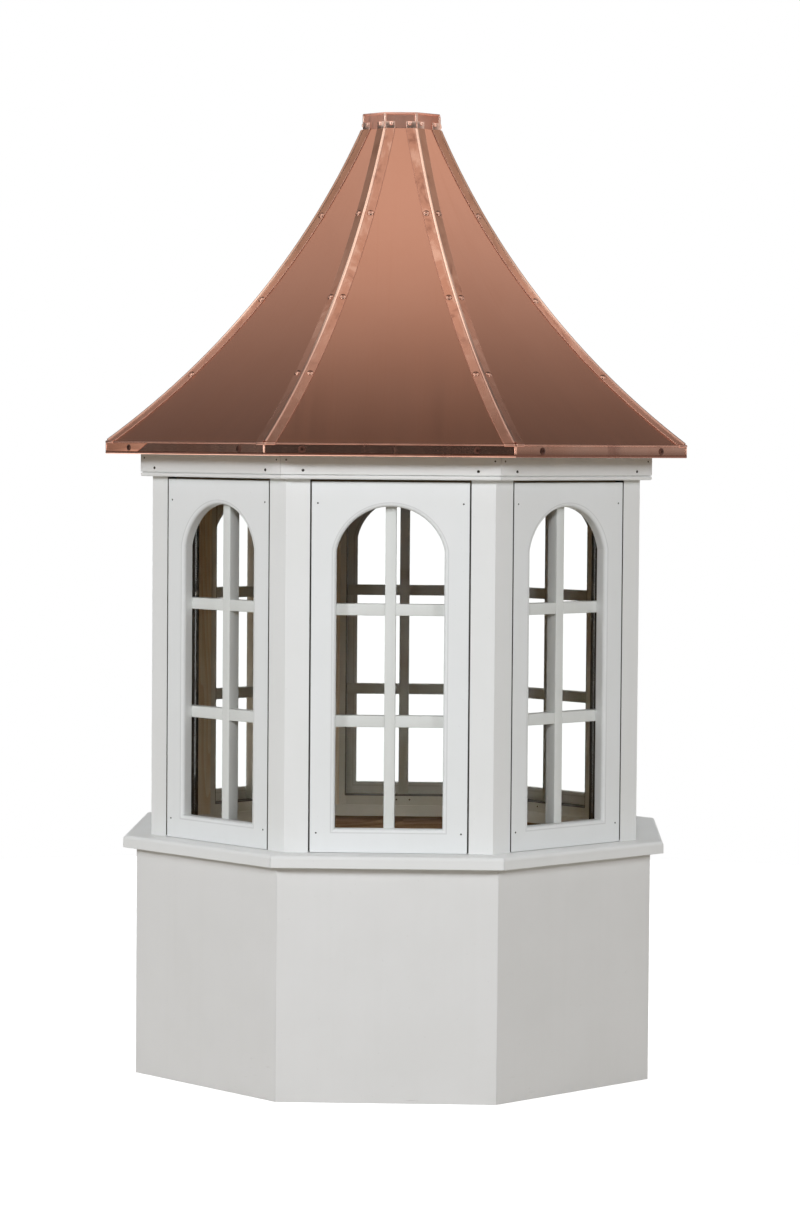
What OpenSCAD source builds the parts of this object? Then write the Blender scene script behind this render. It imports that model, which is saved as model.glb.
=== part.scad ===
// Eight-sided barn cupola: a plain skirt, a ring of arched windows between corner boards,
// and a bell-curved sheet-copper roof with a cap that takes a weathervane rod.
// The axis of the cupola is Z, the skirt stands on Z = 0 and the front side faces -Y.

/* [Base skirt] */
// Width of the skirt across its flats
base_across = 687.4; // [600:0.1:900]
// Height of the skirt
base_h = 304.8; // [200:0.1:450]
// Thickness of the skirt boards
base_board_t = 12.7; // [9:0.1:20]
// Side of the square timber ring behind the top of the skirt
ring_side = 38; // [25:0.5:45]

/* [Sill] */
// How far the sill stands out over the skirt
sill_overhang = 17.5; // [8:0.1:30]
// Thickness of the sill boards
sill_t = 16; // [12:0.1:25]
// Depth of the sill boards from nose to inner edge
sill_depth = 80; // [72:0.5:110]
// Radius of the rounded nose of the sill
sill_nose_r = 5; // [2:0.1:8]

/* [Window wall] */
// How far the window wall is set back from the skirt
wall_setback = 18.7; // [10:0.1:30]
// Height of the window wall between sill and cornice
wall_h = 480.9; // [420:0.1:600]
// Thickness of the corner boards and sashes
wall_board_t = 15; // [12:0.1:20]
// Width of each leg of a corner board
trim_leg = 31.5; // [28:0.1:40]
// Thickness of the corner studs and window stops behind the boards
stud_t = 25; // [20:0.5:32]
// Height of the timber plate on top of the studs
plate_h = 38; // [25:0.5:45]

/* [Windows] */
// Gap between a sash and its corner boards
sash_side_gap = 1.4; // [0.3:0.1:3]
// Open joint between a sash and the cornice
sash_head_gap = 3.1; // [1:0.1:5]
// Clearance under a sash
sash_foot_gap = 0.5; // [0.2:0.1:1]
// Width of the window opening
opening_w = 139; // [110:0.5:150]
// How much larger the radius of the arch is than half the width of the opening
arch_spread = 1.5; // [0.5:0.1:12]
// Height of the rail under the opening
sash_rail_h = 30.7; // [22:0.1:60]
// Height of the sash above the top of the arch
sash_crown_h = 31.6; // [20:0.1:50]
// Radius of the rounded edge of the opening
edge_r = 5; // [2:0.1:8]
// How far the stops stand back from the edge of the opening
stop_reveal = 14.5; // [8:0.1:17]
// Width of the upright stops
stop_w = 9.5; // [6:0.1:12]
// Height of the stops across the foot and head of a window
stop_rail_h = 14.2; // [8:0.1:18]
// Thickness of the clear panes
pane_t = 3; // [2:0.1:6]
// Room between sash and pane for the glazing bars
bar_room = 17; // [6:0.1:20]

/* [Cornice] */
// Thickness of the cornice boards
cornice_t = 15.5; // [10:0.1:25]
// Height of the cornice boards
cornice_h = 31.9; // [20:0.1:60]
// Radius of the bead along the foot of the cornice
bead_r = 2.6; // [1.5:0.1:4]
// Width of the groove over the bead
quirk_w = 0.8; // [0.4:0.1:3]

/* [Roof] */
// How far the eave stands out over the cornice
eave_overhang = 44.1; // [20:0.1:80]
// Thickness of the timber deck in the eave
deck_t = 12; // [9:0.1:19]
// Depth of the timber deck from its outer edge inwards
deck_depth = 105; // [80:1:140]
// Height of the curved roof from eave to cap
roof_rise = 427; // [300:1:600]
// How far the roof hangs below a straight line from eave to cap
roof_sag = 34.4; // [10:0.1:60]
// Thickness of the copper sheet
sheet_t = 1; // [0.6:0.1:2]
// Depth of the copper fascia from its top roll to its hem
fascia_h = 17.1; // [14:0.1:30]
// Radius of the roll along the top of the fascia
roll_r = 1.3; // [1:0.1:2]
// Radius of the hem along the foot of the fascia
hem_r = 1.7; // [1:0.1:3]
// Width of a hip cap on each side of its ridge
hip_w = 14.5; // [10:0.1:20]
// Width of the raised ridge on each side of the hip
ridge_w = 1.6; // [1:0.1:5]
// Height of the raised ridge over the hip cap
ridge_h = 1.1; // [0.5:0.1:4]
// Thickness of the timber ribs under the hips
rib_t = 19; // [12:0.5:25]
// Length of a rib's foot along the deck
rib_foot = 110; // [60:1:115]
// Height of a rib where it meets the crown block
rib_head_h = 90; // [50:1:150]

/* [Roof cap] */
// Width of the cap across its flats
cap_across = 103.2; // [100:0.1:140]
// Height of the cap
cap_h = 21.2; // [15:0.1:60]
// Width of the timber crown block across its flats
block_across = 88; // [60:0.5:92]
// Length of the crown block
block_h = 112; // [90:1:200]
// Diameter of the hole for a weathervane rod
rod_hole_d = 13; // [10:0.1:20]

/* [Fits] */
// Open mitre between boards of one ring
mitre_gap = 0.4; // [0.2:0.1:1]
// Gap between pieces that lie against each other
fit = 0.2; // [0.1:0.05:0.4]

/* [Hidden] */
$fn = 96;
roof_fn = 360;
SIDES = ["front", "front_right", "right", "back_right", "back", "back_left", "left", "front_left"];
side_count = len(SIDES);
turn = 360 / side_count;
half_turn = turn / 2;

// Distances of the flats from the axis
base_flat = base_across / 2;
sill_flat = base_flat + sill_overhang;
wall_flat = base_flat - wall_setback;
wall_back = wall_flat - wall_board_t;
stud_back = wall_back - stud_t;
cornice_flat = wall_flat + fit + cornice_t;
fascia_flat = cornice_flat + eave_overhang;
fascia_back = fascia_flat - sheet_t;
roll_flat = fascia_flat - sheet_t / 2;
deck_flat = roll_flat - max(roll_r, hem_r) - fit;
panel_flat = roll_flat - roll_r - fit;
cap_flat = cap_across / 2;
block_flat = block_across / 2;

// Levels
sill_z = base_h;
wall_z = sill_z + sill_t;
cornice_z = wall_z + wall_h;
deck_z = cornice_z + cornice_h;
deck_top = deck_z + deck_t;
roll_z = deck_top + fit + roll_r;
eave_z = roll_z - roll_r / 2;
roof_top = eave_z + roof_rise;
cap_z = roof_top + fit;
cap_top = cap_z + cap_h;
plate_z = deck_z - plate_h;
sash_z = wall_z + sash_foot_gap;
sash_top = cornice_z - sash_head_gap;
opening_z = sash_z + sash_rail_h;
arch_top = sash_top - sash_crown_h;
opening_half = opening_w / 2;
arch_r = opening_half + arch_spread;
arch_z = arch_top - arch_r;

// Sideways places in a window, from its centre line
trim_edge = half_width(wall_flat) - trim_leg;
sash_half = trim_edge - sash_side_gap;
stop_edge = opening_half + stop_reveal;
stud_edge = stop_edge + stop_w + fit;

// The roof's curve: an arc through the eave and the foot of the cap, hollow to the outside
roof_run = fascia_flat - cap_flat;
roof_chord = norm([roof_run, roof_rise]);
roof_r = (roof_chord * roof_chord / 4 + roof_sag * roof_sag) / (2 * roof_sag);
arc_flat = (fascia_flat + cap_flat) / 2 + (roof_r - roof_sag) * roof_rise / roof_chord;
arc_z = (eave_z + roof_top) / 2 + (roof_r - roof_sag) * roof_run / roof_chord;

// A length beyond that of any piece, and how far a cutter reaches past what it cuts
long = 2 * sill_flat + 2 * fascia_flat;
past = 1;

WHITE = "WhiteSmoke";
TIMBER = "BurlyWood";
COPPER = "Peru";

// Half the length of one side of the octagon whose flats are this far from the axis
function half_width(flat) = flat * tan(half_turn);

// A point on the front side, or on the side that is n places round to the right of it
function side_point(n, sideways, flat) = [
    sideways * cos(n * turn) + flat * sin(n * turn),
    sideways * sin(n * turn) - flat * cos(n * turn)
];

// Turns the front side's piece to side n
module at_side(n) {
    rotate([0, 0, n * turn]) children();
}

module at_all_sides() {
    for (n = [0 : side_count - 1]) at_side(n) children();
}

// Plan of a board with mitred ends
module mitred_plan(inner, outer, gap) {
    trim = gap / 2 / cos(half_turn);
    polygon([
        [-half_width(inner) + trim, -inner],
        [half_width(inner) - trim, -inner],
        [half_width(outer) - trim, -outer],
        [-half_width(outer) + trim, -outer]
    ]);
}

module mitred_board(inner, outer, foot, height, gap) {
    translate([0, 0, foot]) linear_extrude(height) mitred_plan(inner, outer, gap);
}

// Turns a section drawn as (distance from the axis, height) into a length along the front side
module along_side(length) {
    rotate([90, 0, -90]) linear_extrude(length, center = true) children();
}

// A piece with one section along the side, mitred at both ends
module mitred_section(inner, outer, gap) {
    intersection() {
        along_side(long) children();
        mitred_board(inner, outer, 0, cap_top, gap);
    }
}

// Plan of a piece that wraps a corner of the octagon, with equal legs on both sides
module corner_plan(edge, inner, outer) {
    polygon([
        side_point(0, edge, outer),
        side_point(0, half_width(outer), outer),
        side_point(1, -edge, outer),
        side_point(1, -edge, inner),
        side_point(0, half_width(inner), inner),
        side_point(0, edge, inner)
    ]);
}

// Everything outside a surface that is offset from the roof's curve, over the front side
module above_curve(offset_in) {
    rotate([90, 0, -90])
        translate([arc_flat, arc_z, 0])
            cylinder(r = roof_r + offset_in, h = long, center = true, $fn = roof_fn);
}

// A curved sheet between two offsets from the roof's curve, inside the given plan
module curved_sheet(outside, inside, top) {
    difference() {
        intersection() {
            translate([0, 0, deck_z]) linear_extrude(top - deck_z) children();
            above_curve(inside);
        }
        above_curve(outside);
    }
}

module base_panel() {
    color(WHITE) mitred_board(base_flat - base_board_t, base_flat, 0, base_h, 0);
}

module base_ring() {
    back = base_flat - base_board_t;
    color(TIMBER) at_all_sides()
        mitred_board(back - ring_side, back, base_h - ring_side, ring_side, mitre_gap);
}

module sill_profile() {
    inner = sill_flat - sill_depth;
    translate([inner, sill_z]) square([sill_depth - sill_nose_r, sill_t]);
    translate([inner, sill_z]) square([sill_depth, sill_t - sill_nose_r]);
    translate([sill_flat - sill_nose_r, wall_z - sill_nose_r]) circle(sill_nose_r);
}

module sill() {
    color(WHITE) at_all_sides()
        mitred_section(sill_flat - sill_depth, sill_flat, mitre_gap) sill_profile();
}

module corner_trim() {
    color(WHITE) translate([0, 0, wall_z])
        linear_extrude(deck_z - wall_z) corner_plan(trim_edge, wall_back, wall_flat);
}

module corner_studs() {
    color(TIMBER) at_all_sides() translate([0, 0, wall_z])
        linear_extrude(plate_z - wall_z) corner_plan(stud_edge, stud_back, wall_back);
}

// Half of the opening's section, square at the back and rounded over at the face
module opening_section(half) {
    difference() {
        union() {
            translate([0, stud_back]) square([half, sill_flat - stud_back]);
            translate([0, wall_flat - edge_r]) square([half + edge_r, sill_flat - wall_flat + edge_r]);
        }
        translate([half + edge_r, wall_flat - edge_r]) circle(edge_r);
    }
}

// The opening's width as a shaft, rounded over at the face
module opening_width() {
    linear_extrude(cap_top) mirror([0, 1]) {
        opening_section(opening_half);
        mirror([1, 0]) opening_section(opening_half);
    }
}

// The part of the opening under the arch, as the overlap of its width and its height
module straight_opening() {
    intersection() {
        opening_width();
        along_side(opening_w + 4 * edge_r)
            translate([0, arch_z]) rotate(-90) opening_section(arch_z - opening_z);
    }
}

module arched_opening() {
    intersection() {
        opening_width();
        translate([0, 0, arch_z]) rotate([90, 0, 0]) rotate_extrude() opening_section(arch_r);
    }
}

module sash() {
    color(WHITE) difference() {
        translate([-sash_half, -wall_flat, sash_z])
            cube([2 * sash_half, wall_board_t, sash_top - sash_z]);
        straight_opening();
        arched_opening();
    }
}

module window_stops() {
    color(WHITE) at_all_sides() {
        for (side = [-1, 1])
            translate([side * (stop_edge + stop_w / 2) - stop_w / 2, -wall_back, wall_z])
                cube([stop_w, stud_t, plate_z - wall_z]);
        for (foot = [wall_z, plate_z - stop_rail_h])
            translate([-stop_edge + fit, -wall_back, foot])
                cube([2 * (stop_edge - fit), stud_t, stop_rail_h]);
    }
}

module window_panes() {
    foot = wall_z + stop_rail_h + fit;
    head = plate_z - stop_rail_h - fit;
    color("PowderBlue", 0.4) at_all_sides()
        translate([-stop_edge + fit, -wall_back + bar_room, foot])
            cube([2 * (stop_edge - fit), pane_t, head - foot]);
}

module top_plate() {
    color(TIMBER) at_all_sides() mitred_board(stud_back, wall_back, plate_z, plate_h, mitre_gap);
}

module cornice_profile() {
    back = wall_flat + fit;
    board_z = cornice_z + 2 * bead_r + quirk_w;
    translate([back, cornice_z]) square([cornice_t - bead_r, cornice_h]);
    translate([back, board_z]) square([cornice_t, deck_z - board_z]);
    translate([cornice_flat - bead_r, cornice_z + bead_r]) circle(bead_r);
}

module cornice() {
    color(WHITE) at_all_sides()
        mitred_section(wall_flat + fit, cornice_flat + bead_r, mitre_gap) cornice_profile();
}

module roof_deck() {
    color(TIMBER) at_all_sides()
        mitred_board(deck_flat - deck_depth, deck_flat, deck_z, deck_t, mitre_gap);
}

// One rib: a plate in the hip's plane, backed to the two curved panels that it carries
module roof_rib() {
    hip_reach = fascia_flat / cos(half_turn);
    foot_outer = deck_flat / cos(half_turn);
    head = block_flat + fit;
    difference() {
        rotate([0, 0, half_turn]) along_side(rib_t) polygon([
            [foot_outer - rib_foot, deck_top],
            [hip_reach, deck_top],
            [head, roof_top],
            [head, roof_top - rib_head_h]
        ]);
        for (n = [0, 1]) at_side(n) above_curve(sheet_t + fit);
    }
}

module roof_ribs() {
    color(TIMBER) at_all_sides() roof_rib();
}

module rod_hole() {
    translate([0, 0, cap_top - sheet_t - block_h - past])
        cylinder(d = rod_hole_d, h = sheet_t + block_h + 2 * past);
}

module crown_block() {
    color(TIMBER) difference() {
        translate([0, 0, cap_top - sheet_t - block_h])
            cylinder(r = block_flat / cos(half_turn), h = block_h, $fn = side_count);
        rod_hole();
    }
}

module roof_panel() {
    color(COPPER) curved_sheet(0, sheet_t, roof_top) mitred_plan(cap_flat - roll_r, panel_flat, fit);
}

// Plan of a strip along the front side's right-hand hip, between two distances from the hip
module hip_strip(near, far) {
    inner = cap_flat - 2 * roll_r;
    polygon([
        [half_width(inner) - far, -inner],
        [half_width(inner) - near, -inner],
        [half_width(panel_flat) - near, -panel_flat],
        [half_width(panel_flat) - far, -panel_flat]
    ]);
}

// The half of a hip cap that lies on the front side: a flange with an upstand along the hip
module half_hip_cap() {
    difference() {
        curved_sheet(-fit - sheet_t - ridge_h, -fit, roof_top) hip_strip(fit / 2, hip_w);
        intersection() {
            linear_extrude(cap_top) hip_strip(ridge_w, 2 * hip_w);
            above_curve(-fit - sheet_t);
        }
    }
}

module hip_caps() {
    color(COPPER) at_all_sides() {
        half_hip_cap();
        at_side(1) mirror([1, 0, 0]) half_hip_cap();
    }
}

module fascia_profile() {
    hem_z = roll_z + roll_r - fascia_h;
    translate([fascia_back, hem_z + hem_r]) square([sheet_t, roll_z - hem_z - hem_r]);
    translate([roll_flat, roll_z]) circle(roll_r);
    translate([roll_flat, hem_z + hem_r]) circle(hem_r);
}

module eave_fascia() {
    reach = max(roll_r, hem_r) + sheet_t;
    color(COPPER) at_all_sides()
        mitred_section(fascia_flat - 2 * reach, fascia_flat + reach, mitre_gap) fascia_profile();
}

// A prism on the roof's octagon
module octagon(flat, foot, height) {
    translate([0, 0, foot]) rotate([0, 0, half_turn])
        cylinder(r = flat / cos(half_turn), h = height, $fn = side_count);
}

module roof_cap() {
    color(COPPER) difference() {
        octagon(cap_flat, cap_z, cap_h);
        octagon(cap_flat - sheet_t, cap_z - past, cap_h - sheet_t + past);
        rod_hole();
    }
}

for (n = [0 : side_count - 1]) {
    at_side(n) base_panel();
    at_side(n) corner_trim();
    at_side(n) sash();
    at_side(n) roof_panel();
}
base_ring();
sill();
corner_studs();
window_stops();
window_panes();
top_plate();
cornice();
roof_deck();
roof_ribs();
crown_block();
hip_caps();
eave_fascia();
roof_cap();
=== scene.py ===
import math

import bmesh
import bpy
from mathutils import Matrix, Vector


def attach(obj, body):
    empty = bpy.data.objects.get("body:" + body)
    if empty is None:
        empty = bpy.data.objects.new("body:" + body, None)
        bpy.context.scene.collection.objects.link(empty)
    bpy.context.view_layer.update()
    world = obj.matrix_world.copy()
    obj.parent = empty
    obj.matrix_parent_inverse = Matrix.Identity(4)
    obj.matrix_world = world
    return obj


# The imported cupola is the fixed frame. Lengths below are in metres, in its own axes:
# Z up, the skirt on Z = 0, the front side facing -Y.
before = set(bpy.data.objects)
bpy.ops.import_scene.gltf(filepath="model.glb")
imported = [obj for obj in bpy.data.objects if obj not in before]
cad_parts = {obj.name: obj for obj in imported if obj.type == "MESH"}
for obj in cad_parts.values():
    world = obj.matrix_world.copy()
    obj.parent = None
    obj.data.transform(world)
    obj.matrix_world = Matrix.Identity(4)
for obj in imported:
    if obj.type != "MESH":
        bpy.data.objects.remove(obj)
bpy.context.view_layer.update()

SIDES = ("front", "front_right", "right", "back_right", "back", "back_left", "left", "front_left")
TURN = math.tau / len(SIDES)
HALF_TURN = TURN / 2

# Distances of the flats from the axis
BASE_FLAT = 0.3437
WALL_FLAT = 0.3250
WALL_BACK = 0.3100
STUD_BACK = 0.2850
CORNICE_FLAT = 0.3407
FASCIA_FLAT = 0.3848
CAP_FLAT = 0.0516

# Levels
WALL_FOOT = 0.3208
PANE_FOOT = 0.3352
PANE_HEAD = 0.7812
CORNICE_FOOT = 0.8017
FASCIA_FOOT = 0.8313
FASCIA_TOP = 0.8484
EAVE = 0.84645
ROOF_TOP = 1.27345
CAP_FOOT = 1.27365
CAP_TOP = 1.29485

# Sashes and their openings, measured sideways from the middle of a side
SASH_HALF = 0.1017
TRIM_EDGE = 0.1031
STOP_EDGE = 0.0840
STOP_FOOT = 0.3350
OPENING_HALF = 0.0695
OPENING_FOOT = 0.3520
ARCH_R = 0.0710
ARCH_Z = 0.6960
OPENING_ROUND = 0.0050

# The roof's hollow curve, as an arc in the plane of distance from the axis and height
ROOF_SAG = 0.0344
ROOF_RUN = FASCIA_FLAT - CAP_FLAT
ROOF_RISE = ROOF_TOP - EAVE
ROOF_CHORD = math.hypot(ROOF_RUN, ROOF_RISE)
ROOF_R = (ROOF_CHORD ** 2 / 4 + ROOF_SAG ** 2) / (2 * ROOF_SAG)
ARC_FLAT = (FASCIA_FLAT + CAP_FLAT) / 2 + (ROOF_R - ROOF_SAG) * ROOF_RISE / ROOF_CHORD
ARC_Z = (EAVE + ROOF_TOP) / 2 + (ROOF_R - ROOF_SAG) * ROOF_RUN / ROOF_CHORD

# Hip straps: their top over the sheet, their reach from the hip, how far they fall away from it and
# lean down the roof, and the levels between which their painted highlight fades at the eave, painted
# shade darkens them high up and they are pressed flat
STRAP_TOP = 0.0012
STRAP_W = 0.0145
STRAP_FALL = math.tan(math.radians(6))
STRAP_STEEP = math.tan(math.radians(5))
STRAP_EAVE_FADE = (1.05, 0.94)
STRAP_SIDE_SHADE = (1.00, 1.15)
STRAP_PRESSED = (1.14, 0.98)

# Fascia: the heights of its hem and of the roll along its top
HEM_H = 0.0036
ROLL_H = 0.0028

# Depths of surface texture, and the rounds on the edges of boards and timbers
BOARD_TOOTH = 0.00006
BOARD_EASE = 0.0009
TIMBER_TOOTH = 0.0002
TIMBER_EASE = 0.0012

# Painted shade lines in the joints: half their width, half their dark core, and how dark they are
LINE_HALF = 0.0012
LINE_CORE = 0.0004
GAP_SHADE_SHARE = 0.9


def half_width(flat):
    return flat * math.tan(HALF_TURN)


def roof_flat(level, lift):
    """Distance of the roof's surface from the axis, on a flat, at a level and at a lift over the sheet."""
    return ARC_FLAT - math.sqrt((ROOF_R - lift) ** 2 - (ARC_Z - level) ** 2)


def roof_normal(level, lift):
    """The way out of the roof over the front side at a level."""
    return Vector((0, -(ARC_FLAT - roof_flat(level, lift)), ARC_Z - level)).normalized()


def at_side(index):
    return Matrix.Rotation(index * TURN, 4, "Z")


def on_front(sideways, flat, level):
    return Vector((sideways, -flat, level))


def standing_on(point, way_out):
    """Puts a shape that stands on its own XY plane on a point of a surface."""
    return Matrix.Translation(point) @ way_out.to_track_quat("Z", "Y").to_matrix().to_4x4()


# Node trees


class Tree:
    """Adds nodes to one node tree and links their sockets."""

    def __init__(self, tree):
        self.tree = tree

    def add(self, kind, inputs=None, **settings):
        made = self.tree.nodes.new(kind)
        for name, value in settings.items():
            setattr(made, name, value)
        for name, value in (inputs or {}).items():
            if isinstance(value, bpy.types.NodeSocket):
                self.tree.links.new(value, made.inputs[name])
            else:
                made.inputs[name].default_value = value
        return made

    def math(self, operation, first, second=0.5, clamp=False):
        made = self.add("ShaderNodeMath", {0: first, 1: second}, operation=operation, use_clamp=clamp)
        return made.outputs[0]

    def ramp(self, value, low, high, to_low=0.0, to_high=1.0):
        """Eases a value from one range into another."""
        inputs = {"Value": value, "From Min": low, "From Max": high, "To Min": to_low, "To Max": to_high}
        return self.add("ShaderNodeMapRange", inputs, interpolation_type="SMOOTHSTEP").outputs["Result"]

    def mix(self, share, first, second, blend="MIX"):
        made = self.add("ShaderNodeMix", {"Factor": share}, data_type="RGBA", blend_type=blend)
        for socket, value in ((made.inputs[6], first), (made.inputs[7], second)):
            if isinstance(value, bpy.types.NodeSocket):
                self.tree.links.new(value, socket)
            else:
                socket.default_value = value
        return made.outputs[2]

    def stretch(self, vector, scale):
        return self.add("ShaderNodeMapping", {"Vector": vector, "Scale": scale}).outputs[0]

    def noise(self, vector, scale, detail=3.0, roughness=0.55, distortion=0.0):
        inputs = {
            "Vector": vector, "Scale": scale, "Detail": detail, "Roughness": roughness,
            "Distortion": distortion,
        }
        return self.add("ShaderNodeTexNoise", inputs).outputs["Fac"]

    def group(self, shared, inputs=None):
        return self.add("ShaderNodeGroup", inputs, node_tree=shared)


def shade(red, green, blue):
    """A colour given as it looks on a screen, from 0 to 255."""
    def light(level):
        level /= 255
        return level / 12.92 if level <= 0.04045 else ((level + 0.055) / 1.055) ** 2.4
    return (light(red), light(green), light(blue), 1.0)


KINDS = {"color": "NodeSocketColor", "value": "NodeSocketFloat", "vector": "NodeSocketVector"}


def shared_effect(name, takes, gives):
    """A node group with named inputs, which have a kind and a first value, and named outputs."""
    tree = bpy.data.node_groups.new(name, "ShaderNodeTree")
    for socket, (kind, first) in takes.items():
        made = tree.interface.new_socket(name=socket, in_out="INPUT", socket_type=KINDS[kind])
        made.default_value = first
    for socket, kind in gives.items():
        tree.interface.new_socket(name=socket, in_out="OUTPUT", socket_type=KINDS[kind])
    made = Tree(tree)
    return made, made.add("NodeGroupInput").outputs, made.add("NodeGroupOutput")


def make_side_frame():
    """Coordinates as seen from each side: sideways, depth and height, and a number for the side."""
    made, _, out = shared_effect("side_frame", {}, {"Place": "vector", "Side": "value"})
    place = made.add("ShaderNodeTexCoord").outputs["Object"]
    parts = made.add("ShaderNodeSeparateXYZ", {0: place})
    back = made.math("MULTIPLY", parts.outputs["Y"], -1.0)
    angle = made.math("ARCTAN2", parts.outputs["X"], back)
    number = made.math("FLOOR", made.math("DIVIDE", made.math("ADD", angle, HALF_TURN), TURN))
    turned = made.add(
        "ShaderNodeVectorRotate",
        {"Vector": place, "Angle": made.math("MULTIPLY", number, -TURN)},
        rotation_type="Z_AXIS",
    )
    made.tree.links.new(turned.outputs[0], out.inputs["Place"])
    made.tree.links.new(number, out.inputs["Side"])
    return made.tree


SIDE_FRAME = make_side_frame()
SIDE_STEP = 3.7


def side_place(made):
    """The place on a side, moved on from side to side so that no two sides show the same pattern."""
    sides = made.group(SIDE_FRAME)
    step = made.add("ShaderNodeCombineXYZ", {"X": made.math("MULTIPLY", sides.outputs["Side"], SIDE_STEP)})
    return made.add(
        "ShaderNodeVectorMath", {0: sides.outputs["Place"], 1: step.outputs[0]}, operation="ADD"
    ).outputs[0]


def make_board_finish():
    """Cellular white board: a faint cloud and streaks in the white, a few specks, a fine tooth."""
    made, given, out = shared_effect(
        "board_finish",
        {
            "White": ("color", shade(240, 240, 239)),
            "Grey": ("color", shade(222, 222, 219)),
            "Dirt": ("color", shade(120, 112, 100)),
            "Cloud": ("value", 0.5),
            "Streaks": ("value", 0.3),
            "Specks": ("value", 0.5),
        },
        {"Color": "color", "Roughness": "value", "Height": "value"},
    )
    place = side_place(made)
    cloud = made.ramp(made.noise(place, 9.0, 5.0), 0.35, 0.7)
    streaks = made.ramp(made.noise(made.stretch(place, (70.0, 70.0, 2.2)), 1.0, 3.0), 0.45, 0.75)
    tooth = made.noise(place, 1400.0, 2.0)
    specks = made.ramp(made.noise(place, 260.0, 1.0), 0.74, 0.80)
    faded = made.math(
        "ADD",
        made.math("MULTIPLY", cloud, given["Cloud"]),
        made.math("MULTIPLY", streaks, given["Streaks"]),
        clamp=True,
    )
    white = made.mix(faded, given["White"], given["Grey"])
    speckled = made.mix(made.math("MULTIPLY", specks, given["Specks"]), white, given["Dirt"])
    made.tree.links.new(speckled, out.inputs["Color"])
    made.tree.links.new(made.ramp(cloud, 0.0, 1.0, 0.36, 0.46), out.inputs["Roughness"])
    made.tree.links.new(made.math("ADD", tooth, made.math("MULTIPLY", cloud, 1.5)), out.inputs["Height"])
    return made.tree


def make_copper_tone():
    """Mill copper sheet: rolled streaks, warm blotches, smoky handling and heat stains, a little waviness."""
    made, given, out = shared_effect(
        "copper_tone",
        {
            "Clean": ("color", shade(206, 147, 122)),
            "Warm": ("color", shade(192, 127, 97)),
            "Smoke": ("color", shade(120, 84, 74)),
            "Pink": ("color", shade(240, 190, 165)),
            "Blotches": ("value", 0.5),
            "Smoke amount": ("value", 0.2),
            "Pink amount": ("value", 0.0),
            "Stain scale": ("value", 18.0),
            "Roughness": ("value", 0.34),
        },
        {"Color": "color", "Roughness": "value", "Height": "value"},
    )
    place = made.add("ShaderNodeTexCoord").outputs["Object"]
    blotches = made.ramp(made.noise(place, 7.0, 5.0, 0.6), 0.35, 0.7)
    streaks = made.noise(made.stretch(side_place(made), (160.0, 0.0, 4.0)), 1.0, 3.0)
    stains = made.noise(made.stretch(place, (1.0, 1.0, 0.55)), given["Stain scale"], 4.0, 0.6, 0.6)
    smoke = made.ramp(stains, 0.52, 0.72)
    pink = made.ramp(stains, 0.50, 0.32)
    waves = made.noise(made.stretch(place, (1.0, 1.0, 0.4)), 8.0, 1.0)
    toned = made.mix(made.math("MULTIPLY", blotches, given["Blotches"]), given["Clean"], given["Warm"])
    rolled = made.mix(made.ramp(streaks, 0.5, 0.8, 0.0, 0.12), toned, given["Warm"])
    flushed = made.mix(made.math("MULTIPLY", pink, given["Pink amount"]), rolled, given["Pink"])
    smoked_share = made.math("MULTIPLY", smoke, given["Smoke amount"])
    smoked = made.mix(smoked_share, flushed, given["Smoke"])
    rolled_rough = made.ramp(streaks, 0.3, 0.7, -0.010, 0.016)
    smoked_rough = made.math("MULTIPLY", smoked_share, 0.18)
    rough = made.math("ADD", given["Roughness"], made.math("ADD", rolled_rough, smoked_rough))
    made.tree.links.new(smoked, out.inputs["Color"])
    made.tree.links.new(rough, out.inputs["Roughness"])
    made.tree.links.new(waves, out.inputs["Height"])
    return made.tree


def make_timber_grain():
    """Softwood: bands of early and late wood drawn out along the grain, fibres and a few knots."""
    made, given, out = shared_effect(
        "timber_grain",
        {
            "Place": ("vector", (0.0, 0.0, 0.0)),
            "Early": ("color", shade(196, 160, 116)),
            "Late": ("color", shade(150, 106, 66)),
            "Knot": ("color", shade(84, 52, 32)),
            "Bands": ("value", 45.0),
        },
        {"Color": "color", "Roughness": "value", "Height": "value"},
    )
    wander = made.noise(given["Place"], 9.0, 3.0, 0.5, 0.4)
    cycle = made.math("MULTIPLY", wander, given["Bands"])
    bands = made.ramp(made.math("FRACT", cycle, 0.0), 0.15, 0.95)
    fibres = made.noise(given["Place"], 380.0, 3.0)
    knots = made.add("ShaderNodeTexVoronoi", {"Vector": given["Place"], "Scale": 7.0}).outputs["Distance"]
    knot = made.ramp(knots, 0.10, 0.04)
    banded = made.mix(made.math("MULTIPLY", bands, 0.75), given["Early"], given["Late"])
    fibred = made.mix(made.ramp(fibres, 0.5, 0.75, 0.0, 0.45), banded, given["Late"])
    knotted = made.mix(knot, fibred, given["Knot"])
    made.tree.links.new(knotted, out.inputs["Color"])
    made.tree.links.new(made.ramp(fibres, 0.3, 0.7, 0.55, 0.75), out.inputs["Roughness"])
    made.tree.links.new(made.math("ADD", fibres, made.math("MULTIPLY", bands, 0.5)), out.inputs["Height"])
    return made.tree


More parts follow.
